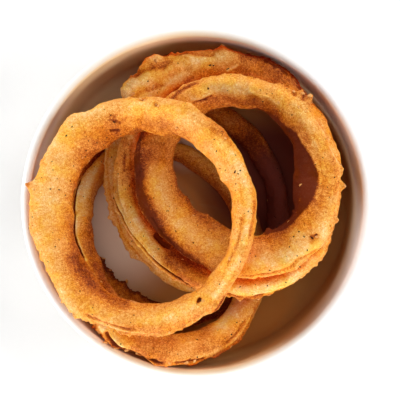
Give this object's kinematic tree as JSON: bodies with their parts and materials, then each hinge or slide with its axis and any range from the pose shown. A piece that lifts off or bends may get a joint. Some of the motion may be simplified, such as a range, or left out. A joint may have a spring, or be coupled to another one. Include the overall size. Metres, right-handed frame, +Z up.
{
  "type": "bowl of battered onion rings",
  "caption": "Side of battered and fried onion rings heaped in a small round glazed bowl, leaning on each other and standing above its rim.",
  "frame": {"origin": "middle of the bowl's underside, on the surface it stands on", "axes": "+Z up out of the bowl; +X to the right and +Y away from someone who looks down into it"},
  "size_m": [0.15, 0.15, 0.0962],
  "materials": {
    "glaze": "glossy white glaze, brown towards the bottom inside",
    "crust": "rough golden fried batter with an oily sheen and pepper specks"
  },
  "bodies": {
    "root": {"bowl": "glaze", "ring_floor": "crust", "ring_leaning": "crust", "ring_under": "crust", "ring_wide": "crust", "ring_right": "crust", "ring_top": "crust"}
  },
  "joints": []
}
